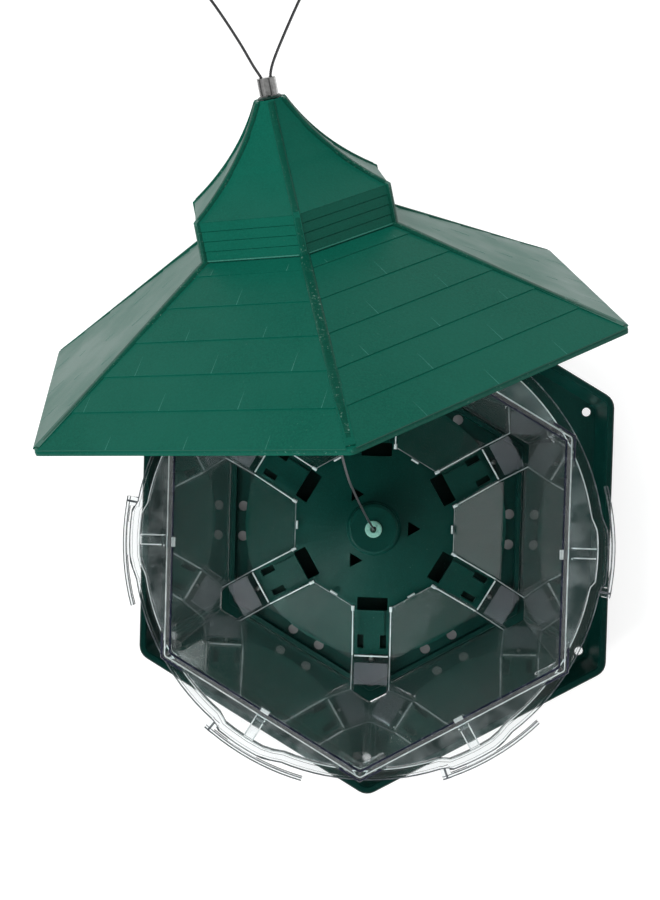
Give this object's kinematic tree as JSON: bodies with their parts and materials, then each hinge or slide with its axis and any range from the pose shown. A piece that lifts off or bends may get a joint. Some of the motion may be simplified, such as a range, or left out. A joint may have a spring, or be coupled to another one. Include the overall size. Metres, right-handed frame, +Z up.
{
  "type": "hanging bird feeder",
  "caption": "Hexagonal hanging feeder: green seed tray, clear hopper with lock collar, and a pagoda roof that slides and turns on a wire cable.",
  "frame": {"origin": "middle of the underside of the whole object's bounding box, cables left out, with the roof leaning back", "axes": "+Z up along the tray and hopper axis; +Y towards the side the roof leans over, square to the line through the tray's left and right flats"},
  "size_m": [0.2698, 0.4497, 0.2741],
  "materials": {
    "green_plastic": "satin moulded",
    "clear_plastic": "clear gloss",
    "pale_green_plastic": "satin",
    "dark_plastic": "matte",
    "bright_steel": "zinc plated",
    "wire": "stranded galvanised wire"
  },
  "bodies": {
    "base": {"base_tray": "green_plastic", "seed_cone": "green_plastic", "hub_eyelet": "pale_green_plastic", "cable_washer": "bright_steel", "cable_stop": "bright_steel", "hopper_screw_1": "bright_steel", "hopper_screw_2": "bright_steel", "hopper_screw_3": "bright_steel", "hopper_screw_4": "bright_steel", "hopper_screw_5": "bright_steel", "hopper_screw_6": "bright_steel", "hopper": "clear_plastic", "lock_collar": "clear_plastic", "cable_tail": "wire"},
    "cable_foot": {"cable_lower": "wire"},
    "cable_head": {"cable_upper": "wire", "top_ferrule": "bright_steel", "hanging_loop": "wire"},
    "bushing": {"roof_bushing": "dark_plastic"},
    "roof": {"roof_skirt": "green_plastic", "roof_spire": "green_plastic"}
  },
  "joints": [
    {"name": "cable_tilt", "type": "hinge", "parent": "base", "child": "cable_foot", "pos_m": [0.01386, -0.0291, 0.031], "axis": [0.9562, 0.2929, 0], "range_deg": [0, 24.77]},
    {"name": "cable_bend", "type": "hinge", "parent": "cable_foot", "child": "cable_head", "pos_m": [0.00068, 0.01392, 0.12849], "axis": [0.9824, 0.1789, 0.0538], "range_deg": [0, 45.51]},
    {"name": "roof_slide", "type": "slide", "parent": "cable_head", "child": "bushing", "axis": [0.1865, -0.9217, -0.3401], "range_m": [0, 0.06089]},
    {"name": "roof_twist", "type": "hinge", "parent": "bushing", "child": "roof", "pos_m": [-0.00864, 0.06, 0.1455], "axis": [-0.1865, 0.9217, 0.3401], "range_deg": [-18.3, 0]}
  ],
  "couplings": [
    {"joint": "cable_bend", "follows": "cable_tilt", "ratio": 1.8368},
    {"joint": "roof_slide", "follows": "cable_tilt", "m_per_rad": 0.14081}
  ]
}
